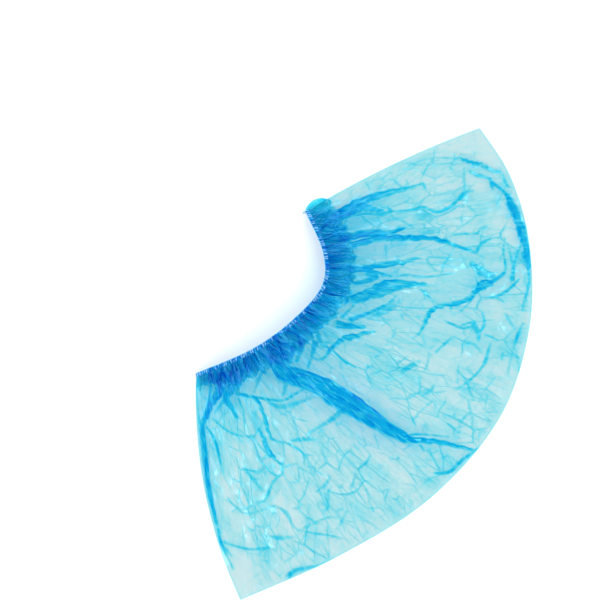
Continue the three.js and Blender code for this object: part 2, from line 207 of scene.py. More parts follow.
# Folds: the film lies many deep where it was folded over. route is where each runs in the photo, in
# pixels from its top left corner. wide is the breadth in mm and layers the added layers of film, both
# at its start, middle and end. crisp is 1 where its sharp edge is on the left, -1 on the right and 0
# where both are alike. side is 1 for the upper film.
Fold = namedtuple("Fold", "route wide layers crisp side", defaults=(0, 1))
FOLDS = (
    # The main fold, from the hem across to the sole
    Fold(((277, 352), (284, 372), (303, 379)), (14, 11, 9), (8, 10, 8)),
    Fold(((283, 374), (310, 381), (345, 400), (376, 421), (408, 440)), (10, 13, 6), (7, 11, 9), crisp=1),
    Fold(((289, 366), (320, 376), (349, 392), (382, 418), (410, 438)), (1.4, 1.4, 1.6), (4, 3, 4), crisp=1),
    Fold(((402, 439), (420, 440), (445, 443), (474, 451)), (4, 2.6, 1.8), (8, 5, 4), crisp=1),
    Fold(((406, 436), (419, 434), (451, 437)), (1.2, 1.1, 0.9), (4, 3, 1)),
    Fold(((344, 408), (330, 420), (306, 434)), (3.4, 2.6, 1.4), (4, 2.4, 1)),
    Fold(((420, 444), (424, 452)), (1.4, 1.1, 0.8), (1.8, 2.4, 1)),
    Fold(((428, 448), (434, 460), (440, 470)), (1, 1.4, 0.8), (1, 2, 2.4)),
    Fold(((434, 473), (449, 472), (461, 461), (481, 446)), (1.4, 2.2, 1.2), (3.5, 4.5, 2)),
    # Heel side of the mouth
    Fold(((210, 374), (211, 386), (208, 405), (202, 424)), (2, 1.3, 1.6), (3.5, 4.5, 2)),
    Fold(((220, 372), (221, 387), (212, 403), (203, 424)), (8, 4, 2.4), (9, 9, 6), crisp=1),
    Fold(((202, 421), (205, 449), (209, 490), (218, 528)), (2.2, 3, 1.8), (6, 7, 4)),
    Fold(((218, 528), (222, 545), (234, 570)), (1.8, 1.4, 1), (4, 3, 2)),
    Fold(((206, 426), (213, 436), (218, 451), (223, 475)), (1.2, 1.7, 1), (3.5, 4.5, 2)),
    Fold(((196, 388), (199, 420), (204, 470)), (0.9, 0.9, 0.9), (1.8, 2.4, 1), side=0),
    Fold(((212, 418), (228, 431), (243, 436), (258, 436)), (1, 1.2, 0.9), (3, 2.6, 1)),
    Fold(((230, 370), (232, 387), (226, 398), (233, 409), (238, 420)), (7, 4.2, 1.6), (8, 7, 3)),
    Fold(((226, 397), (222, 403), (214, 414)), (2.4, 1.4, 0.8), (5, 3, 1)),
    Fold(((241, 368), (239, 381), (236, 396)), (6, 3, 1.4), (8, 6, 3)),
    Fold(((249, 362), (248, 378)), (8, 5, 2), (5, 4, 2)),
    Fold(((237, 394), (262, 398), (283, 400), (298, 392), (309, 385)), (1.8, 1.3, 0.9), (3.5, 4.5, 2)),
    Fold(
        ((238, 393), (256, 399), (265, 417), (269, 434), (278, 442)),
        (1.6, 2.4, 1.4), (4, 5, 2.4), crisp=1,
    ),
    Fold(((277, 441), (290, 444), (303, 453), (304, 467)), (1, 1.1, 1), (1.8, 2.4, 1)),
    Fold(((238, 397), (243, 410), (246, 428)), (1.2, 1, 0.8), (3, 1.4, 0.6)),
    Fold(((262, 398), (280, 407), (300, 402), (318, 395)), (1.5, 3, 1.4), (1, 1.3, 0.5), side=0),
    Fold(((259, 428), (265, 443), (273, 457), (284, 465)), (1.4, 2.6, 1.4), (2.4, 4.5, 3), crisp=1),
    Fold(((252, 434), (262, 448), (278, 462)), (0.9, 1, 0.8), (1, 2, 1.4)),
    Fold(((256, 454), (272, 473), (282, 474), (283, 465)), (0.9, 1, 0.8), (1.2, 2.2, 1.4)),
    Fold(((281, 475), (273, 482), (265, 500), (254, 502)), (1, 1.6, 0.8), (2, 3, 0.8)),
    Fold(((283, 467), (297, 463)), (0.9, 0.9, 0.8), (2, 1.6, 1)),
    Fold(((242, 466), (254, 480), (264, 492)), (1.4, 2.6, 1.4), (0.6, 1.1, 0.5), side=0),
    Fold(((290, 441), (305, 439), (318, 440)), (1.4, 2.8, 1.2), (0.8, 1.4, 0.5), side=0),
    Fold(((256, 400), (254, 416), (259, 436)), (3, 3.6, 3), (0.3, 0.8, 0.3), side=0),
    Fold(((262, 372), (257, 384), (254, 394)), (1, 1, 0.8), (3, 1.6, 1), side=0),
    Fold(((286, 384), (284, 392), (282, 397)), (3, 1.8, 1), (5, 3, 1.4)),
    # Bottom of the heel
    Fold(((219, 540), (232, 545), (250, 549), (269, 547)), (1.4, 1.2, 1), (2.4, 3, 2.4)),
    Fold(((260, 551), (269, 547)), (1, 1.2, 1), (1.8, 2.4, 1)),
    Fold(((219, 541), (227, 550), (232, 557)), (1.6, 1.2, 0.8), (2.4, 1.8, 1), side=0),
    Fold(((287, 577), (297, 570), (320, 565), (340, 557)), (3, 1.8, 0.9), (4, 1.8, 0.9)),
    Fold(((262, 535), (281, 538), (298, 536)), (1.4, 2.4, 1.4), (0.6, 1.4, 0.5), side=0),
    Fold(((296, 529), (313, 533), (328, 535), (345, 539)), (1, 1.4, 0.9), (1.2, 2.4, 1.2)),
    Fold(((300, 530), (316, 522), (329, 517), (338, 518)), (1, 1.2, 0.9), (1.2, 2, 1)),
    Fold(((347, 510), (340, 524), (336, 530)), (0.9, 1.1, 0.8), (1, 1.8, 1)),
    Fold(((366, 487), (369, 500), (374, 513)), (1, 1.3, 0.8), (1, 1.8, 0.8)),
    Fold(((316, 492), (326, 484), (331, 474)), (1, 1.8, 0.8), (1, 1.6, 0.5), side=0),
    Fold(((325, 492), (327, 502), (328, 510)), (0.9, 1.2, 0.8), (1, 1.8, 0.7)),
    Fold(((227, 497), (240, 511), (252, 513), (272, 506)), (0.9, 1, 0.9), (1, 1.5, 1)),
    Fold(((270, 505), (285, 512), (295, 529)), (1.2, 2.6, 1.2), (0.6, 1.1, 0.5), side=0),
    # Toe side of the mouth
    Fold(((338, 213), (362, 201), (384, 194), (402, 190), (422, 184)), (4, 4.2, 1), (7, 4.5, 2), crisp=1),
    Fold(((419, 185), (423, 184), (426, 192)), (1.4, 2, 0.8), (2, 2.4, 1)),
    Fold(((338, 216), (361, 208), (376, 210), (389, 214)), (5, 4.6, 1.6), (8, 6, 2.4), crisp=1),
    Fold(((344, 217), (365, 214), (385, 215)), (2, 1.1, 1.8), (5, 3, 3)),
    Fold(
        ((386, 212), (413, 210), (422, 207), (437, 212), (451, 206), (459, 198), (465, 191)),
        (1, 1.6, 2.2), (2, 3.5, 4),
    ),
    Fold(
        ((338, 240), (354, 236), (371, 233), (389, 233), (407, 227)),
        (4, 4.4, 1.2), (7, 7, 3.5), crisp=-1,
    ),
    Fold(
        ((350, 246), (367, 241), (386, 238), (413, 238), (434, 239), (452, 244)),
        (4, 3.4, 2), (6, 7, 5), crisp=1,
    ),
    Fold(((447, 243), (459, 247), (476, 253)), (2, 1.7, 1.4), (5, 5, 4)),
    Fold(((476, 253), (481, 244), (492, 238)), (1.4, 2.2, 1), (4.5, 3.4, 1.4)),
    Fold(((442, 239), (458, 234), (476, 234), (480, 229), (492, 229)), (1, 1.4, 1), (1.5, 2.6, 1)),
    Fold(((352, 271), (370, 267), (391, 264), (423, 258)), (2.4, 3.8, 1.4), (6, 5, 1.4), crisp=-1),
    Fold(((436, 272), (427, 258), (451, 259)), (0.9, 1.1, 0.9), (1, 2, 1)),
    Fold(((350, 268), (364, 270), (379, 273), (393, 277)), (4, 2, 1.1), (7, 5, 3)),
    Fold(((366, 274), (376, 277), (366, 281), (352, 284)), (3, 3, 2), (5, 5, 5)),
    Fold(((395, 277), (407, 275), (425, 277), (455, 273)), (1, 1.5, 0.9), (2, 2.4, 1)),
    Fold(((350, 300), (370, 293), (389, 286), (410, 284), (428, 286)), (5, 8, 1.4), (7, 5.5, 3), crisp=1),
    Fold(((364, 298), (383, 295), (400, 288)), (1.4, 2, 1), (2, 2.6, 1.4), crisp=-1),
    Fold(((349, 320), (366, 314), (383, 306), (391, 301), (396, 295)), (2.6, 1.8, 1), (7, 5, 3)),
    Fold(((341, 318), (350, 309), (356, 302)), (1.4, 1.4, 1), (5, 3, 2)),
    Fold(((366, 320), (387, 309), (406, 298)), (2, 5, 2), (0.6, 1.2, 0.4), side=0),
    Fold(((419, 288), (434, 302)), (0.8, 1.2, 0.8), (1.4, 2.8, 1.4)),
    Fold(((336, 324), (350, 326), (366, 327)), (5, 3.4, 1.8), (7, 7, 5)),
    Fold(((328, 352), (338, 342), (350, 337), (376, 331)), (1.6, 3.4, 1.4), (5, 6, 2), crisp=1),
    Fold(((332, 349), (343, 360), (357, 368)), (1, 1.3, 0.8), (3, 3.4, 1.6)),
    Fold(((311, 358), (322, 359), (331, 350)), (1.8, 1.8, 1.4), (3, 3, 3)),
    Fold(((316, 340), (312, 355), (307, 370)), (4, 1.8, 1), (7, 4, 2)),
    Fold(((302, 340), (300, 352), (296, 362)), (4, 3, 1.6), (8, 5, 3)),
    Fold(((318, 334), (322, 344), (334, 349)), (3, 1.4, 1.2), (7, 3, 3)),
    Fold(((294, 346), (291, 356), (290, 364)), (4, 3, 2), (6, 6, 3)),
    Fold(((394, 218), (404, 222), (414, 228)), (0.8, 1, 0.8), (1, 1.8, 1.4)),
    Fold(((377, 217), (381, 224), (376, 229)), (0.8, 1.2, 0.8), (1, 1.8, 1)),
    Fold(((412, 220), (424, 216), (434, 222)), (3, 6, 3), (0.4, 0.9, 0.3), side=0),
    Fold(((418, 232), (430, 232), (440, 230)), (1.5, 3, 1.5), (0.6, 1.1, 0.5), side=0),
    Fold(((385, 244), (387, 262)), (0.8, 1.1, 0.8), (1, 1.2, 0.7), side=0),
    # Toe corner and the sole beside it
    Fold(((412, 164), (434, 158), (460, 159)), (0.9, 1, 1), (0.8, 1, 2)),
    Fold(((460, 159), (475, 163), (489, 169), (501, 173)), (1.6, 2.2, 1.4), (3, 3, 2.4), crisp=1),
    Fold(((502, 173), (505, 181), (509, 188)), (0.9, 1.4, 0.9), (2, 3.4, 1.6)),
    Fold(((469, 171), (477, 175), (489, 178)), (1.4, 2.6, 1.6), (3, 2.6, 3)),
    Fold(((489, 178), (494, 184), (504, 192), (512, 200)), (2, 1.5, 1.4), (5, 4, 3)),
    Fold(((490, 179), (493, 190)), (1.6, 2, 1.2), (4, 4, 2)),
    Fold(((464, 167), (464, 191)), (0.8, 0.9, 0.8), (1, 1.8, 1.4)),
    Fold(((458, 200), (466, 193), (474, 190)), (2.4, 2.4, 1.2), (3, 2, 1)),
    Fold(((505, 193), (513, 207), (520, 226), (526, 246), (530, 266)), (2.4, 6, 2.4), (4, 6, 4), crisp=-1),
    Fold(((506, 203), (516, 221), (522, 238)), (1.4, 1.6, 1), (3, 4, 1.6)),
    Fold(((505, 238), (503, 250), (505, 262)), (1, 1.5, 1), (1.4, 2.4, 1.4)),
    Fold(((507, 244), (511, 258), (514, 272)), (1, 1.3, 1), (1.4, 2.6, 2)),
    Fold(((521, 244), (514, 264), (512, 282)), (1.2, 1.6, 3), (2, 3, 5)),
    Fold(((522, 252), (527, 262), (531, 268)), (2, 3, 2), (3, 5, 4)),
    Fold(((519, 279), (509, 289), (497, 296), (484, 299)), (1.4, 1.8, 1), (4, 4, 1.6)),
    Fold(((484, 299), (497, 298), (505, 304)), (0.9, 1.1, 0.8), (1.6, 2, 1)),
    Fold(((504, 258), (505, 271), (496, 279), (484, 285)), (1.4, 2, 3), (3, 4, 4)),
    Fold(((476, 291), (484, 284), (493, 284)), (3, 6, 2.4), (7, 8, 4), crisp=1),
    Fold(((470, 262), (481, 272), (496, 277)), (2.4, 6, 2.4), (2.4, 3, 2)),
    Fold(
        ((478, 288), (470, 297), (458, 303), (441, 306), (430, 311), (424, 325)),
        (3, 2.6, 2.6), (4, 4, 5), crisp=1,
    ),
    Fold(((474, 296), (466, 306), (457, 314)), (1.2, 1.1, 0.9), (3, 2.4, 1)),
    Fold(((424, 325), (418, 334), (412, 339)), (1.6, 1.2, 0.8), (4, 2.4, 1)),
    Fold(((449, 302), (451, 312)), (1.2, 1.2, 0.9), (3, 2.4, 1)),
    Fold(((443, 320), (456, 326), (464, 328), (474, 325)), (1, 1.6, 1.4), (2.4, 4, 3)),
    Fold(((460, 326), (468, 323), (475, 321)), (1, 1.2, 1), (2, 3, 2)),
    Fold(((472, 322), (478, 334), (478, 342)), (3.4, 3.2, 1.2), (2.4, 3, 4)),
    Fold(((482, 312), (484, 324), (478, 334)), (1.2, 1.5, 1.4), (2, 3, 3)),
    Fold(((485, 335), (491, 337), (499, 341)), (0.9, 1.2, 0.8), (1.4, 2.4, 1)),
    Fold(((473, 343), (478, 349), (483, 354)), (0.8, 1, 0.8), (1, 1.8, 1)),
    Fold(((490, 343), (487, 355), (484, 364)), (0.8, 1.8, 2.4), (1.4, 3, 4)),
    Fold(((484, 364), (476, 374), (468, 381)), (1.4, 1, 1.4), (3, 2.4, 4)),
    Fold(((523, 323), (518, 334), (514, 347)), (1, 2, 1.4), (2.4, 4.5, 3)),
    Fold(((514, 346), (510, 362), (507, 377)), (1, 1, 0.8), (2, 1.8, 1)),
    Fold(((515, 348), (518, 362), (520, 376)), (0.9, 1, 0.8), (1.6, 1.8, 1)),
    Fold(((505, 314), (512, 325), (516, 330)), (0.9, 1.2, 0.8), (1.4, 2.4, 1)),
    Fold(((527, 262), (529, 282), (524, 302), (522, 312)), (1.6, 1.6, 1), (4, 3, 1.4)),
    Fold(((503, 352), (501, 361)), (0.9, 1.1, 0.8), (1.4, 2.2, 1.4)),
    Fold(((467, 381), (456, 369)), (1.4, 0.9, 0.7), (3, 1.4, 0.7)),
    Fold(((467, 381), (470, 392), (474, 401)), (1.4, 1, 0.8), (3, 2, 1)),
    Fold(((467, 382), (460, 387), (453, 391)), (1.2, 0.9, 0.7), (2, 1.2, 0.7)),
    Fold(((435, 353), (444, 344), (452, 337)), (0.9, 1.6, 0.9), (1.6, 2.6, 1.2)),
    Fold(((401, 372), (411, 366), (421, 361)), (3, 3.6, 2), (0.8, 1.8, 0.8), side=0),
    Fold(((423, 372), (427, 364), (429, 352)), (1, 1.2, 0.8), (1, 1.6, 0.8)),
    Fold(((364, 344), (373, 348), (383, 353)), (0.9, 1.2, 0.8), (2, 2, 0.8)),
    Fold(((417, 414), (427, 405), (435, 399)), (0.8, 1, 0.8), (1, 1.6, 1)),
    Fold(((421, 396), (431, 390), (434, 384)), (1.2, 2.4, 1.2), (0.6, 1.4, 0.6), side=0),
    Fold(((447, 423), (454, 429), (459, 432), (459, 418)), (0.9, 1, 0.8), (1.4, 2, 0.8)),
    Fold(((472, 416), (472, 428)), (0.9, 1.1, 0.8), (1, 1.8, 0.8)),
)


def nearest_on(line, share, x, y):
    """Distance of each point from the nearest place on a line, its side of it and that place's share."""
    best = np.full(x.shape, np.inf)
    side, where = np.zeros(x.shape), np.zeros(x.shape)
    for (ax, ay), (bx, by), s0, s1 in zip(line[:-1], line[1:], share[:-1], share[1:]):
        dx, dy = bx - ax, by - ay
        if dx == dy == 0:
            continue
        part = np.clip(((x - ax) * dx + (y - ay) * dy) / (dx * dx + dy * dy), 0, 1)
        rx, ry = x - ax - part * dx, y - ay - part * dy
        far = rx * rx + ry * ry
        closer = far < best
        best = np.where(closer, far, best)
        side = np.where(closer, np.sign(dx * ry - dy * rx), side)
        where = np.where(closer, s0 + part * (s1 - s0), where)
    return np.sqrt(best), side, where


def fold_route(fold):
    """A fold's line on the table in mm, and each point's share of its length."""
    return smooth_curve(from_photo(fold.route), 25)


def near_line(line, margin, x, y):
    """Which points lie in the box round a line."""
    low, high = line.min(0) - margin, line.max(0) + margin
    return (x > low[0]) & (x < high[0]) & (y > low[1]) & (y < high[1])


# A fold lifts the film in mm by LIFT_OF_LAYER for each layer and by LIFT_OF_WIDTH of its width. It
# rises in one STEEPNESS-th of its width, falls away over FALL_AWAY widths, and grows and ends over
# these shares of its length.
LIFT_OF_LAYER = 0.08
LIFT_OF_WIDTH = 0.05
STEEPNESS = 3
FALL_AWAY = 1.27
FOLD_GROWS, FOLD_ENDS = 0.12, 0.2


def fold_over(x, y, side):
    """How high the folds lift the film."""
    height = np.zeros(x.shape)
    for fold in (f for f in FOLDS if f.side == side):
        line, share = fold_route(fold)
        near = near_line(line, 3 * max(fold.wide), x, y)
        far, over, where = nearest_on(line, share, x[near], y[near])
        wide = np.interp(where, (0, 0.5, 1), fold.wide)
        hold = np.minimum(smooth_step(where / FOLD_GROWS), smooth_step((1 - where) / FOLD_ENDS))
        # The film rises steeply on the crisp side of the fold and falls away slowly on the other
        lift = np.interp(where, (0, 0.5, 1), fold.layers) * LIFT_OF_LAYER + LIFT_OF_WIDTH * wide
        turned = (1 + np.tanh(-(fold.crisp or 1) * STEEPNESS * over * far / wide)) / 2
        height[near] += lift * hold * turned * np.exp(-((far / wide / FALL_AWAY) ** 2))
    return height


# CRISP_MM and SOFT_MM are how fast a fold's colour starts at its sharp edge and at others. LEAST_HALF
# is half the least width that still shows. FOLD_GAIN deepens every fold and NARROW_GAIN the narrow
# ones more. A sharp edge wavers by WAVER_MM and RAGGED_MM, and EDGE_LINE_IN from it lies a line of
# EDGE_LINE more film. The other side fades over FEATHER_MM and FEATHER_SHARE of half the fold.
CRISP_MM = 0.5
SOFT_MM = 1.0
LEAST_HALF = 0.55
FOLD_GAIN = 2.1
NARROW_GAIN = 1.0
WAVER_MM = 0.35
RAGGED_MM = 0.5
EDGE_LINE = 0.6
EDGE_LINE_IN, EDGE_LINE_MM = 0.4, 0.5
FEATHER_MM, FEATHER_SHARE = 0.8, 0.55
STREAK_MM, STREAK_DEPTH = 2.4, 0.45
WIDE_LOSS = 0.1
CROSSING = 0.25


def fold_layers(x, y, side):
    """How many more layers of film lie in the folds at each spot."""
    layers = np.zeros(x.shape)
    shift = WAVER_MM * wander(x / 30, y / 20, 3, 5)
    for fold in (f for f in FOLDS if f.side == side):
        line, share = fold_route(fold)
        near = near_line(line, 2 * max(fold.wide), x, y)
        far, over, where = nearest_on(line, share, x[near], y[near])
        half = np.maximum(np.interp(where, (0, 0.5, 1), fold.wide) / 2, LEAST_HALF)
        # Light passes a narrow fold only once on its way to the eye, so it is drawn that much deeper
        gain = FOLD_GAIN + NARROW_GAIN * np.exp(-half / 4)
        amount = np.interp(where, (0, 0.5, 1), fold.layers) * gain
        # Its colour comes in quickly at its start and fades at its end
        amount = amount * smooth_step(where / 0.04 + 0.3) * smooth_step((1 - where) / 0.08 + 0.15)
        if fold.crisp:
            ragged = RAGGED_MM * wander(5 * where, 0, half.mean(), 1)
            out = over * far * fold.crisp + shift[near] + ragged
            feather = FEATHER_MM + FEATHER_SHARE * half
            band = smooth_step((half - out) / CRISP_MM + 0.5) * smooth_step((half + out) / feather + 0.5)
            band = band + EDGE_LINE * np.exp(-(((half - out - EDGE_LINE_IN) / EDGE_LINE_MM) ** 2))
        else:
            out = over * far
            band = smooth_step((half - far) / SOFT_MM + 0.5)
        # Within a wide fold the pleats lie side by side
        streaks = wander(out / STREAK_MM, 3 * where, half.mean(), 1)
        streaks = smooth_step((half - 1) / 2) * (WIDE_LOSS - STREAK_DEPTH * streaks)
        band = amount * band * (1 - streaks)
        # Where two folds cross, the weaker one counts in part
        layers[near] = np.maximum(layers[near], band) + CROSSING * np.minimum(layers[near], band)
    return layers


# The shares of the gathers' and folds' height that show in each side of the film. The lower side's
# folds end within WELD_SHARE of the welds. The bag is closed at its welds and its sole, and rises
# between them the faster, the larger SWELL_ENDS and SWELL_SOLE are.
UPPER_GATHERS = 0.8
LOWER_GATHERS = 0.9
LOWER_FOLDS = 0.6
WELD_SHARE = 0.05
SWELL_ENDS = 1.7
SWELL_SOLE = 3.5


def lay_film(u, v, side):
    """Where the film lies, in mm, and the added layers in its gathers. side 1 is the upper film."""
    x, y = plan(u, v)
    reach = v * film_depth(u)
    height, along, layers = gather(u, reach, side)
    folded = fold_over(x, y, side)
    step = 0.002
    (x0, y0), (x1, y1) = plan(u - step, v), plan(u + step, v)
    length = np.maximum(np.hypot(x1 - x0, y1 - y0), 1e-6)
    x = x + along * (x1 - x0) / length
    y = y + along * (y1 - y0) / length
    edge = smooth_step(u / WELD_SHARE) * smooth_step((1 - u) / WELD_SHARE)
    swell = (1 - (1 - np.sin(np.pi * np.clip(u, 0, 1))) ** SWELL_ENDS) * (1 - v**SWELL_SOLE)
    if side:
        return x, y, FILM_GAP * 3 + POUCH_HEIGHT * swell + UPPER_GATHERS * height + folded, layers
    return x, y, FILM_GAP + LOWER_GATHERS * height + LOWER_FOLDS * folded * edge, layers


def crease_line(line, wide, strength, place_x, place_y, lines):
    """Adds a crease along a line, given in mm, to the layers of film in lines."""
    near = near_line(line, 2 * wide, place_x, place_y)
    if not near.any():
        return
    far, _, where = nearest_on(line, np.linspace(0, 1, len(line)), place_x[near], place_y[near])
    fade = np.sqrt(np.clip(np.sin(np.pi * where), 0, 1))
    lines[near] = np.maximum(lines[near], strength * fade * np.exp(-((2 * far / wide) ** 2)))


# The film is crumpled into flat facets between straight creases, as film is that was packed tight.
# cell is the size of the facets in mm, rise how far their corners stand up or down and lines the
# layers in the sharpest creases between them. Corners move by up to CORNER_SHIFT of a cell and rise by
# up to RISE_LIMIT times the usual. Facets that meet at less than LEAST_BEND have no crease, and it is
# at its deepest BEND_SPAN further on.
CRUMPLES = (
    {"cell": 21, "rise": 0.75, "lines": 0.7},
    {"cell": 9, "rise": 0.3, "lines": 0.5},
)
CREASE_WIDTH = 1.0
CORNER_SHIFT = 0.48
RISE_LIMIT = 1.8
LEAST_BEND = 2.0
BEND_SPAN = 2.4


def crumple(us, vs, side):
    """Height of the crumpled facets over the grid of the film, and the layers in their creases."""
    height = np.zeros((len(vs), len(us)))
    lines = np.zeros((len(vs), len(us)))
    place_x, place_y = plan(*np.meshgrid(us, vs))
    for row, level in enumerate(CRUMPLES):
        random = np.random.default_rng(11 + 7 * row + side)
        across, down = int(FLAT_LENGTH / level["cell"]), int(FLAT_DEPTH / level["cell"])
        cells = np.stack(np.meshgrid(np.arange(-1, across + 2), np.arange(-1, down + 2)), -1)
        cells = cells.reshape(-1, 2)
        corners = (cells + random.uniform(-CORNER_SHIFT, CORNER_SHIFT, cells.shape)) / (across, down)
        rises = random.normal(0, 1, len(corners)).clip(-RISE_LIMIT, RISE_LIMIT) * level["rise"]
        flat = [Vector((a * FLAT_LENGTH, b * FLAT_DEPTH)) for a, b in corners]
        _, _, faces, order, *_ = delaunay_2d_cdt(flat, [], [], 0, 1e-6)
        # The film is cut into triangles between the corners, and each is a flat facet
        slopes = {}
        for face in faces:
            ids = [order[k][0] for k in face]
            spots, tops = corners[ids], rises[ids]
            matrix = np.column_stack((spots, np.ones(3)))
            if abs(np.linalg.det(matrix)) < 1e-9:
                continue
            a, b, c = np.linalg.solve(matrix, tops)
            i0, i1 = np.searchsorted(us, (spots[:, 0].min(), spots[:, 0].max()))
            j0, j1 = np.searchsorted(vs, (spots[:, 1].min(), spots[:, 1].max()))
            if i0 < i1 and j0 < j1:
                gu, gv = np.meshgrid(us[i0:i1], vs[j0:j1])
                inverse = np.linalg.inv(matrix.T)
                weights = [inverse[k, 0] * gu + inverse[k, 1] * gv + inverse[k, 2] for k in range(3)]
                inside = (weights[0] >= 0) & (weights[1] >= 0) & (weights[2] >= 0)
                height[j0:j1, i0:i1] += np.where(inside, a * gu + b * gv + c, 0)
            for k in range(3):
                edge = tuple(sorted((ids[k], ids[(k + 1) % 3])))
                slopes.setdefault(edge, []).append(np.array((a / FLAT_LENGTH, b / FLAT_DEPTH)))
        # Where two facets meet at a sharp angle the film is pinched into a crease
        for (p, q), pair in slopes.items():
            if len(pair) < 2:
                continue
            bend = np.hypot(*(pair[0] - pair[1])) / level["rise"] * level["cell"]
            strength = np.clip((bend - LEAST_BEND) / BEND_SPAN, 0, 1) * level["lines"]
            if strength <= 0:
                continue
            ends = np.clip(corners[[p, q]], 0, 1)
            line = np.stack(plan(ends[:, 0], ends[:, 1]), -1)
            crease_line(line, CREASE_WIDTH, strength, place_x, place_y, lines)
    return height, lines


# Fine creases, strewn over the film. u and v give the stretch of film, count how many there are and
# long their length in mm. turn is the usual angle in degrees between them and the way from mouth to
# sole, spread how far they differ from it, and layers the most that lie in them. Each has
# STREWN_PARTS parts that turn by STREWN_BEND, and STREWN_LENGTHS times the usual length.
Strewn = namedtuple("Strewn", "u v count long turn spread layers")
STREWN = (
    Strewn(u=(0.42, 0.98), v=(0.12, 0.75), count=150, long=16, turn=0, spread=24, layers=0.8),
    Strewn(u=(0.42, 0.98), v=(0.12, 0.98), count=130, long=9, turn=0, spread=70, layers=0.6),
    Strewn(u=(0.55, 0.92), v=(0.7, 0.99), count=90, long=14, turn=62, spread=26, layers=1.0),
    Strewn(u=(0.03, 0.42), v=(0.15, 0.95), count=90, long=13, turn=30, spread=60, layers=0.6),
    Strewn(u=(0.03, 0.3), v=(0.12, 0.3), count=30, long=10, turn=0, spread=30, layers=1.6),
)
STREWN_PARTS = 4
STREWN_BEND = 0.1
STREWN_WIDTHS = (0.8, 1.3)
STREWN_LENGTHS = (0.5, 1.6)
STREWN_LEAST, STREWN_FAINTNESS = 0.2, 1.5


def strewn_creases(us, vs, side):
    """The layers of film in the fine creases over the grid of the film."""
    lines = np.zeros((len(vs), len(us)))
    place_x, place_y = plan(*np.meshgrid(us, vs))
    random = np.random.default_rng(40 + side)
    for row in STREWN:
        for _ in range(row.count):
            u, v = random.uniform(*row.u), random.uniform(*row.v)
            x, y = plan(u, v)
            below_x, below_y = plan(u, v + 0.01)
            heading = math.atan2(below_y - y, below_x - x) + math.radians(row.turn)
            heading += math.radians(row.spread) * random.normal()
            part = row.long * random.uniform(*STREWN_LENGTHS) / STREWN_PARTS
            line = [(x, y)]
            for _ in range(STREWN_PARTS):
                heading += STREWN_BEND * random.normal()
                x, y = x + part * math.cos(heading), y + part * math.sin(heading)
                line.append((x, y))
            strength = row.layers * random.uniform(STREWN_LEAST, 1) ** STREWN_FAINTNESS
            wide = random.uniform(*STREWN_WIDTHS)
            crease_line(np.array(line), wide, strength, place_x, place_y, lines)
    return lines


def mesh_object(name, rows, closed=False):
    """A piece from rows of points (x, y, z) in mm. closed joins the last row to the first."""
    count, width = len(rows), len(rows[0])
    ids = np.arange(count * width).reshape(count, width)
    if closed:
        ids = np.vstack((ids, ids[:1]))
    faces = np.stack((ids[:-1, :-1], ids[1:, :-1], ids[1:, 1:], ids[:-1, 1:]), -1).reshape(-1, 4)
    mesh = bpy.data.meshes.new(name)
    mesh.from_pydata((np.asarray(rows).reshape(-1, 3) * MM).tolist(), [], faces.tolist())
    mesh.polygons.foreach_set("use_smooth", [True] * len(mesh.polygons))
    piece = bpy.data.objects.new(name, mesh)
    bpy.context.scene.collection.objects.link(piece)
    return piece


def paint(piece, name, values):
    """Stores a value or a vector for each point of a piece, which its material reads by name."""
    kind, slot = ("FLOAT", "value") if values.ndim < 3 else ("FLOAT_VECTOR", "vector")
    layer = piece.data.attributes.new(name, kind, "POINT")
    layer.data.foreach_set(slot, values.astype(np.float32).ravel())


def paint_cut(piece, u, v, side):
    """Marks each point with its place on the film as cut, in mm, which the crinkles follow."""
    paint(piece, "cut", np.stack(((u + 2 * side) * FLAT_LENGTH, v * FLAT_DEPTH, 0 * u), -1))


def linear(hexcode):
    """The linear colour of an sRGB hex value."""
    parts = [int(hexcode[k : k + 2], 16) / 255 for k in (1, 3, 5)]
    return (*[p / 12.92 if p <= 0.04045 else ((p + 0.055) / 1.055) ** 2.4 for p in parts], 1)


def put(tree, kind, inputs=None, **settings):
    """Adds a node. inputs gives each socket a value, or the node or socket that feeds it."""
    node = tree.nodes.new("ShaderNode" + kind)
    for name, value in settings.items():
        setattr(node, name, value)
    for socket, value in (inputs or {}).items():
        if isinstance(value, bpy.types.Node):
            value = value.outputs[0]
        if isinstance(value, bpy.types.NodeSocket):
            tree.links.new(value, node.inputs[socket])
        else:
            node.inputs[socket].default_value = value
    return node


# Blown low-density polyethylene, tinted through: each layer takes out red and a little green, so that
# folds turn from pale cyan to deep blue. Its skin is smooth but crinkled, which gives short glints.
# TEN_LAYERS is the colour of white light that has come through ten layers. SKIN_TINT is what a sheet
# takes out whatever its layers, and HEM_SKIN_TINT less of it, as the band's two sheets lie close.
TEN_LAYERS = linear("#5ce5fc")
SKIN_TINT = linear("#fbf7f5")
HEM_SKIN_TINT = linear("#fffffc")
# The haze is the light that the pigment scatters, and the glints are seen through film above them
HAZE_TINT = linear("#1fb4e6")
GLINT_TINT = linear("#84dcff")
FILM_ROUGHNESS = 0.1
SHINE = 0.045
HAZE = 0.03
LEAST_FACING = 0.75
LEAST_LAYERS = 0.3
# The pleats in a wide fold, in mm, PLEATS_LONG times as long, and what they do to its layers. Real
# pleats are about half as wide, and are drawn this coarse so that they show.
PLEATS_MM = 2.6
PLEATS_LONG = 3.5
PLEATS_NOISE = (0.36, 0.6)
PLEATS_SHARE = (0.45, 1.35)
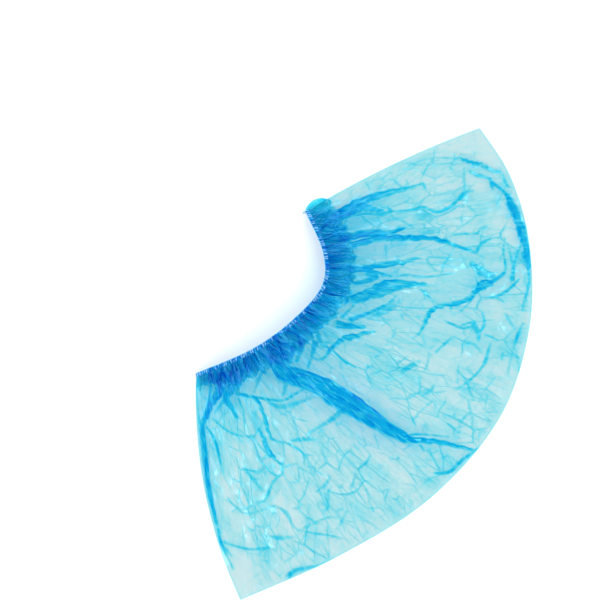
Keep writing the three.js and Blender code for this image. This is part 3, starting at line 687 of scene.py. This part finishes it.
# The film was packed tight, so it is crinkled into small flat facets with creases between them. cell is
# the size of the facets in mm, long how much longer they are towards the sole, tilt their slope and
# shade, a painted light and shade, how far they differ in layers: each facet is made lighter or darker
# at random, as if it caught the light its own way. line is the width of the creases in mm and layers
# the added layers of film in them.
Crinkle = namedtuple("Crinkle", "cell long tilt shade line layers")
CRINKLES = (
    Crinkle(cell=17, long=1.7, tilt=0.07, shade=0.55, line=0.7, layers=3.4),
    Crinkle(cell=8, long=2.4, tilt=0.1, shade=0.6, line=0.6, layers=2.6),
    Crinkle(cell=5, long=6, tilt=0.12, shade=0.4, line=0.6, layers=1.3),
    Crinkle(cell=3.2, long=1.5, tilt=0.13, shade=0.35, line=0.5, layers=0.7),
)
# The facets' edges wander by EDGE_WANDER of a cell, in waves WAVES_IN_CELL to the cell, and show only
# where those waves are high
EDGE_WANDER = 0.4
WAVES_IN_CELL = 0.7
EDGE_SHOWS = (0.49, 0.62)


def polyethylene(name, layers, skin_tint):
    """Tinted film, so many layers thick."""
    material = bpy.data.materials.new(name)
    material.use_nodes = True
    tree = material.node_tree
    tree.nodes.clear()
    cut = put(tree, "Attribute", attribute_name="cut").outputs["Vector"]
    crinkled = put(tree, "Attribute", attribute_name="crinkled").outputs["Fac"]
    height, lines = 0.0, 0.0
    for row in CRINKLES:
        drawn = {0: cut, 1: (1, 1 / row.long, 1)}
        drawn = put(tree, "VectorMath", drawn, operation="MULTIPLY")
        waves = {"Vector": drawn, "Scale": WAVES_IN_CELL / row.cell, "Detail": 1}
        waves = put(tree, "TexNoise", waves, noise_dimensions="2D")
        bent = {0: waves.outputs["Color"], 1: [EDGE_WANDER * row.cell] * 3, 2: drawn}
        bent = put(tree, "VectorMath", bent, operation="MULTIPLY_ADD")
        cells = {"Vector": bent, "Scale": 1 / row.cell}
        facet = put(tree, "TexVoronoi", cells, voronoi_dimensions="2D")
        # Each facet is a plane through its middle that leans its own way
        spot = {0: bent, 1: facet.outputs["Position"]}
        spot = put(tree, "VectorMath", spot, operation="SUBTRACT")
        lean = {0: facet.outputs["Color"], 1: (0.5, 0.5, 0.5)}
        lean = put(tree, "VectorMath", lean, operation="SUBTRACT")
        rise = {0: spot, 1: lean}
        rise = put(tree, "VectorMath", rise, operation="DOT_PRODUCT")
        height = {0: rise.outputs["Value"], 1: row.tilt, 2: height}
        height = put(tree, "Math", height, operation="MULTIPLY_ADD")
        edge = put(tree, "TexVoronoi", cells, feature="DISTANCE_TO_EDGE", voronoi_dimensions="2D")
        line = {"Value": edge.outputs["Distance"], "From Min": 0.0, "From Max": row.line / row.cell}
        line.update({"To Min": row.layers, "To Max": 0.0})
        line = put(tree, "MapRange", line, interpolation_type="SMOOTHSTEP")
        sharp = {"Value": waves.outputs["Fac"], "From Min": EDGE_SHOWS[0], "From Max": EDGE_SHOWS[1]}
        sharp = put(tree, "MapRange", sharp)
        lines = {0: line, 1: sharp, 2: lines}
        lines = put(tree, "Math", lines, operation="MULTIPLY_ADD")
        # Painted light and shade: each facet's random lean also makes its film lighter or darker
        shade = put(tree, "SeparateXYZ", {0: lean})
        lines = {0: shade.outputs["Z"], 1: row.shade, 2: lines}
        lines = put(tree, "Math", lines, operation="MULTIPLY_ADD")
    bump = put(tree, "Bump", {"Strength": 1.0, "Distance": MM, "Height": height})
    bump = bump.outputs["Normal"]
    # The thickness that light crosses: the layers, with the creases, over the slant of the film
    crease = put(tree, "Attribute", attribute_name="crease")
    film = put(tree, "Math", {0: crease.outputs["Fac"], 1: layers}, operation="ADD")
    # Each fold is a bundle of narrow pleats side by side, with gaps between them
    fold = put(tree, "Attribute", attribute_name="fold")
    pleats = {0: cut, 1: (1, 1 / PLEATS_LONG, 1)}
    pleats = put(tree, "VectorMath", pleats, operation="MULTIPLY")
    pleats = {"Vector": pleats, "Scale": 1 / PLEATS_MM, "Detail": 3, "Distortion": 0.6}
    pleats = put(tree, "TexNoise", pleats, noise_dimensions="2D")
    bundle = {"Value": pleats.outputs["Fac"], "From Min": PLEATS_NOISE[0], "From Max": PLEATS_NOISE[1]}
    bundle.update({"To Min": PLEATS_SHARE[0], "To Max": PLEATS_SHARE[1]})
    bundle = put(tree, "MapRange", bundle)
    film = {0: fold.outputs["Fac"], 1: bundle, 2: film}
    film = put(tree, "Math", film, operation="MULTIPLY_ADD")
    film = {0: lines, 1: crinkled, 2: film}
    film = put(tree, "Math", film, operation="MULTIPLY_ADD")
    film = put(tree, "Math", {0: film, 1: LEAST_LAYERS}, operation="MAXIMUM")
    slant = put(tree, "LayerWeight", {"Blend": 0.5, "Normal": bump})
    facing = put(tree, "Math", {0: 1.0, 1: slant.outputs["Facing"]}, operation="SUBTRACT")
    facing = put(tree, "Math", {0: facing, 1: LEAST_FACING}, operation="MAXIMUM")
    path = {0: film, 1: facing}
    path = put(tree, "Math", path, operation="DIVIDE")
    parts = {}
    for k, part in enumerate(("Red", "Green", "Blue")):
        power = put(tree, "Math", {0: TEN_LAYERS[k] ** 0.1, 1: path}, operation="POWER")
        tinted = {0: power, 1: skin_tint[k]}
        parts[part] = put(tree, "Math", tinted, operation="MULTIPLY")
    tint = put(tree, "CombineColor", parts)
    clear = put(tree, "BsdfTransparent", {"Color": tint.outputs["Color"]})
    haze = {"Base Color": HAZE_TINT, "Roughness": 0.5, "Specular IOR Level": 0, "Normal": bump}
    haze = put(tree, "BsdfPrincipled", haze)
    body = put(tree, "MixShader", {0: HAZE, 1: clear, 2: haze})
    gloss = {"Color": GLINT_TINT, "Roughness": FILM_ROUGHNESS, "Normal": bump}
    gloss = put(tree, "BsdfGlossy", gloss)
    skin = put(tree, "MixShader", {0: SHINE, 1: body, 2: gloss})
    put(tree, "OutputMaterial", {"Surface": skin})
    return material


# Matched to the palest film in the photo
FILM_LAYERS = 0.38
film_material = polyethylene("blown_polyethylene_film", FILM_LAYERS, SKIN_TINT)
COLUMNS = 620
ROWS = 158
# The mouth lies MOUTH_SHARE times as long as the sole. Past the hem that packs more film in, PACKED for
# each time that it is longer when flat, which starts at PACKED_FROM and is whole PACKED_MM further on.
MOUTH_SHARE = 0.37
PACKED = 0.1
PACKED_FROM = 8
PACKED_MM = 20
WELD_LAYERS = 0.8
WELD_MM = 0.8
# Two corners lie smooth: each one's place and radius in the photo's pixels
SMOOTH_CORNERS = (((500, 140), 46), ((232, 580), 30))
SMOOTH_FROM = 0.4
# The facets end this far from the film's edges and from the mouth, and stand this high on each side
EDGE_MM = 12
TAUT_MM = 22
UPPER_FACETS = 0.75
LOWER_FACETS = 1.1
# The least share of the creases and crinkles that stays at the edges, and what the mouth adds to it
LEAST_CREASES = 0.4
LEAST_CRINKLES = 0.15
MOUTH_CRINKLES = 0.4
CRINKLES_EDGE_MM = 5

for side, name in ((1, "film_upper"), (0, "film_lower")):
    us, vs = np.linspace(0, 1, COLUMNS), np.linspace(0, 1, ROWS)
    u, v = np.meshgrid(us, vs)
    x, y, z, layers = lay_film(u, v, side)
    facets, creases = crumple(us, vs, side)
    creases = creases + strewn_creases(us, vs, side)
    depth = film_depth(u)
    width = FLAT_LENGTH * (MOUTH_SHARE + (1 - MOUTH_SHARE) * v)
    from_edge = np.minimum(np.minimum(u, 1 - u) * width, (1 - v) * depth)
    calm = np.ones(u.shape)
    for spot, radius in SMOOTH_CORNERS:
        away = np.hypot(*(np.stack((x, y), -1) - from_photo(spot)).transpose(2, 0, 1))
        calm = calm * smooth_step(away / (radius * PHOTO_SPAN / PHOTO_PIXELS) - SMOOTH_FROM)
    loose = calm * smooth_step(from_edge / EDGE_MM) * smooth_step(v * depth / TAUT_MM)
    z = z + facets * loose * (UPPER_FACETS if side else LOWER_FACETS)
    # The film is drawn together more, the nearer it is to the mouth
    row_length = MOUTH_LENGTH + v * (FLAT_LENGTH - MOUTH_LENGTH)
    packed = PACKED * (FLAT_LENGTH / row_length - 1) * smooth_step((v * depth - PACKED_FROM) / PACKED_MM)
    weld = np.exp(-((from_edge / WELD_MM) ** 2)) * WELD_LAYERS
    piece = mesh_object(name, np.stack((x, y, np.maximum(z, FILM_GAP)), -1))
    creases = creases * (LEAST_CREASES + (1 - LEAST_CREASES) * loose)
    paint(piece, "crease", creases + packed + weld + layers)
    paint(piece, "fold", fold_layers(x, y, side))
    crinkled = LEAST_CRINKLES + (1 - LEAST_CRINKLES) * calm * smooth_step(from_edge / CRINKLES_EDGE_MM)
    paint(piece, "crinkled", crinkled + MOUTH_CRINKLES * np.exp(-((v * depth / TAUT_MM) ** 2)))
    paint_cut(piece, u, v, side)
    piece.data.materials.append(film_material)
    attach(piece, "root")
    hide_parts("upper_side" if side else "lower_side")

# Hem band
# The film's open edge is turned back outwards round the mouth and lies on the pouch, so the band is
# twice as deep in colour. It is gathered with the film under it and flat at both welds.
HEM_COLUMNS = 1100
HEM_ROWS = 22
HEM_LAYERS = 0.6
HEM_CRINKLES = 3
# At the toe the band ends in a tab from TAB_FROM on, which bulges out and is deeper in colour
TAB_FROM = 0.955
TAB_BULGE = 3.6
TAB_LAYERS = 2.2
TAB_DEEPENS = 0.02
# The added layers along the hem's cut edge and along the mouth, and how wide they lie
CUT_EDGE_LAYERS = 0.8
CUT_EDGE_MM = 0.5
MOUTH_EDGE_LAYERS = 1.2
MOUTH_EDGE_MM = 1.6
TABLE_GAP = 0.05

hem_material = polyethylene("blown_polyethylene_hem", HEM_LAYERS, HEM_SKIN_TINT)
for side, name in ((1, "hem_upper"), (0, "hem_lower")):
    us = np.linspace(0, 1, HEM_COLUMNS)
    hem = hem_depth(us, side)
    u, share = np.meshgrid(us, np.linspace(0, 1, HEM_ROWS))
    v = share * hem / film_depth(us)
    x, y, z, layers = lay_film(u, v, side)
    # The tab bulges out past the weld and is rounded
    bulge = TAB_BULGE * np.sin(np.pi * share) ** 0.6 * smooth_step((u - TAB_FROM) / (1 - TAB_FROM))
    x, y = x + bulge * outward(-1)[0], y + bulge * outward(-1)[1]
    z = z + FILM_GAP if side else np.maximum(z - FILM_GAP, TABLE_GAP)
    piece = mesh_object(name, np.stack((x, y, z), -1))
    edge = CUT_EDGE_LAYERS * np.exp(-(((1 - share) * hem / CUT_EDGE_MM) ** 2))
    edge = edge + MOUTH_EDGE_LAYERS * np.exp(-((share * hem / MOUTH_EDGE_MM) ** 2))
    tab = TAB_LAYERS * smooth_step((u - TAB_FROM) / TAB_DEEPENS)
    paint(piece, "crease", layers + edge + tab)
    paint(piece, "crinkled", HEM_CRINKLES + 0 * layers)
    paint_cut(piece, u, v, side)
    piece.data.materials.append(hem_material)
    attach(piece, "root")
    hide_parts("hem_band")

# Elastic and overlock stitch
# A narrow rubber strip runs in the edge of the hem all the way round the mouth. An overlock stitch of
# fine polyester thread wraps it and the film's edge, and crimps the edge between its loops.
ELASTIC_WIDE = 2.2
ELASTIC_THICK = 0.7
ELASTIC_STATIONS = 260
ELASTIC_SIDES = 12
ELASTIC_INSET = 1.3
# The strip is too stiff to follow each pleat, so its height is the film's over this share either way
STRIP_STIFF = 0.012
STRIP_SAMPLES = 9
# The thread swings STITCH_REACH either way from a line STITCH_SHIFT times that inside the mouth's edge
STITCH_STATIONS = 900
STITCH_PITCH = 1.9
STITCH_STEPS = 12
STITCH_REACH = 1.3
STITCH_SHIFT = 0.8
STITCH_HIGH = 0.75
THREAD = 0.2
THREAD_SIDES = 5


def mouth_loop(steps, inset):
    """A path round the mouth: along the upper film from heel to toe and back along the lower film."""
    along = np.linspace(0, 1, steps)
    levels = []
    for side in (1, 0):
        spread = along[:, None] + np.linspace(-STRIP_STIFF, STRIP_STIFF, STRIP_SAMPLES)
        _, _, z, _ = lay_film(np.clip(spread, 0, 1), 0 * spread, side)
        levels.append(z.mean(1) + (FILM_GAP / 2 if side else 0))
    x, y = plan(along, inset / film_depth(along))
    upper = np.stack((x, y, levels[0]), -1)
    lower = np.stack((x, y, levels[1]), -1)
    return np.vstack((upper, lower[::-1]))


def level_and_upright(path):
    """Two directions square to a closed path at each point, one level and one upright."""
    ahead = np.roll(path, -1, 0) - np.roll(path, 1, 0)
    ahead /= np.linalg.norm(ahead, axis=1)[:, None]
    level = np.cross(ahead, (0, 0, 1.0))
    level /= np.maximum(np.linalg.norm(level, axis=1), 1e-6)[:, None]
    return level, np.cross(level, ahead)


def tube(path, wide, thick, sides):
    """The rows of points of a tube, wide and thick as given, along a path back to its start."""
    level, upright = level_and_upright(path)
    rows = []
    for angle in np.linspace(0, 2 * np.pi, sides + 1):
        rows.append(path + wide / 2 * math.cos(angle) * level + thick / 2 * math.sin(angle) * upright)
    return np.stack(rows, 1)


path = mouth_loop(ELASTIC_STATIONS, ELASTIC_INSET)
strip = tube(path, ELASTIC_WIDE, ELASTIC_THICK, ELASTIC_SIDES)
elastic = mesh_object("elastic_strip", strip, closed=True)
# Extruded rubber, dyed like the film: matt, so the eye gets an even blue line under the hem
rubber = bpy.data.materials.new("extruded_rubber_elastic")
rubber.use_nodes = True
skin = rubber.node_tree.nodes["Principled BSDF"]
skin.inputs["Base Color"].default_value = linear("#0b7cc8")
skin.inputs["Roughness"].default_value = 0.55
elastic.data.materials.append(rubber)
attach(elastic, "root")
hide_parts("elastic_loop")

path = mouth_loop(STITCH_STATIONS, 0)
run = np.append(0, np.cumsum(np.linalg.norm(np.diff(path, axis=0), axis=1)))
turns = int(run[-1] / STITCH_PITCH)
steps = np.linspace(0, run[-1], turns * STITCH_STEPS)
centre = np.stack([np.interp(steps, run, path[:, k]) for k in range(3)], -1)
level, upright = level_and_upright(centre)
angle = 2 * np.pi * np.arange(len(steps)) / STITCH_STEPS
inward = np.where(steps < run[-1] / 2, 1, -1)[:, None]
thread_path = centre + level * inward * (STITCH_REACH * (STITCH_SHIFT + np.cos(angle)))[:, None]
thread_path = thread_path + upright * (STITCH_HIGH * np.sin(angle))[:, None]
thread_path[:, 2] = np.maximum(thread_path[:, 2], THREAD)
stitches = mesh_object("overlock_stitch", tube(thread_path, 2 * THREAD, 2 * THREAD, THREAD_SIDES))
# Spun polyester, a pale blue thread with a soft sheen: the eye gets a row of light ticks at the mouth.
# Real thread is about half as thick, and is drawn this coarse so that it shows.
polyester = bpy.data.materials.new("spun_polyester_thread")
polyester.use_nodes = True
skin = polyester.node_tree.nodes["Principled BSDF"]
skin.inputs["Base Color"].default_value = linear("#a8e2f8")
skin.inputs["Roughness"].default_value = 0.45
stitches.data.materials.append(polyester)
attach(stitches, "root")
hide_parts("elastic_loop")

# Table, light and camera
# A white table in a white light tent with an opening overhead for the camera, dark so that the film
# shows no reflection of it. Two lamps beside the opening give the glints on the creases.
floor = bpy.data.meshes.new("table")
floor.from_pydata([(-3, -3, 0), (3, -3, 0), (3, 3, 0), (-3, 3, 0)], [], [(0, 1, 2, 3)])
table = bpy.data.objects.new("table", floor)
bpy.context.scene.collection.objects.link(table)
# Matt white board, without any sheen, so nothing of the tent shows in it
white = bpy.data.materials.new("white_table")
white.use_nodes = True
skin = white.node_tree.nodes["Principled BSDF"]
skin.inputs["Base Color"].default_value = linear("#f4f4f4")
skin.inputs["Roughness"].default_value = 0.9
skin.inputs["Specular IOR Level"].default_value = 0
floor.materials.append(white)

TENT_LIGHT = 2.45
OPENING_LIGHT = 0.02
OPENING_ANGLE = 40
OPENING_BLUR = 8
world = bpy.data.worlds.new("light_tent")
bpy.context.scene.world = world
world.use_nodes = True
tree = world.node_tree
tree.nodes.clear()
way = put(tree, "TexCoord")
height = put(tree, "SeparateXYZ", {0: way.outputs["Generated"]})
tent = put(
    tree,
    "MapRange",
    {
        "Value": height.outputs["Z"],
        "From Min": math.cos(math.radians(OPENING_ANGLE + OPENING_BLUR)),
        "From Max": math.cos(math.radians(OPENING_ANGLE - OPENING_BLUR)),
        "To Min": TENT_LIGHT,
        "To Max": OPENING_LIGHT,
    },
)
sky = put(tree, "Background", {"Color": (1, 1, 1, 1), "Strength": tent})
put(tree, "OutputWorld", {"Surface": sky})

# Place and size in metres, power in watts
for name, place, size, power in (
    ("lamp_left", (-0.75, 0.5, 1.6), 0.25, 1.6),
    ("lamp_right", (0.8, -0.3, 1.7), 0.22, 1.8),
):
    lamp = bpy.data.lights.new(name, "AREA")
    lamp.shape = "DISK"
    lamp.size = size
    lamp.energy = power
    holder = bpy.data.objects.new(name, lamp)
    holder.location = place
    holder.rotation_euler = (-Vector(place)).to_track_quat("-Z", "Y").to_euler()
    bpy.context.scene.collection.objects.link(holder)

CAMERA_HEIGHT = 3.0
camera = bpy.data.cameras.new("camera")
camera.sensor_width = 36
camera.lens = camera.sensor_width * CAMERA_HEIGHT / (PHOTO_SPAN * MM)
holder = bpy.data.objects.new("camera", camera)
holder.location = (PHOTO_CENTRE[0] * MM, PHOTO_CENTRE[1] * MM, CAMERA_HEIGHT)
holder.rotation_euler = (0, 0, math.atan2(-PHOTO_UP[0], PHOTO_UP[1]))
bpy.context.scene.collection.objects.link(holder)
bpy.context.scene.camera = holder
bpy.context.scene.view_settings.view_transform = "Standard"
bpy.context.scene.cycles.transparent_max_bounces = 32
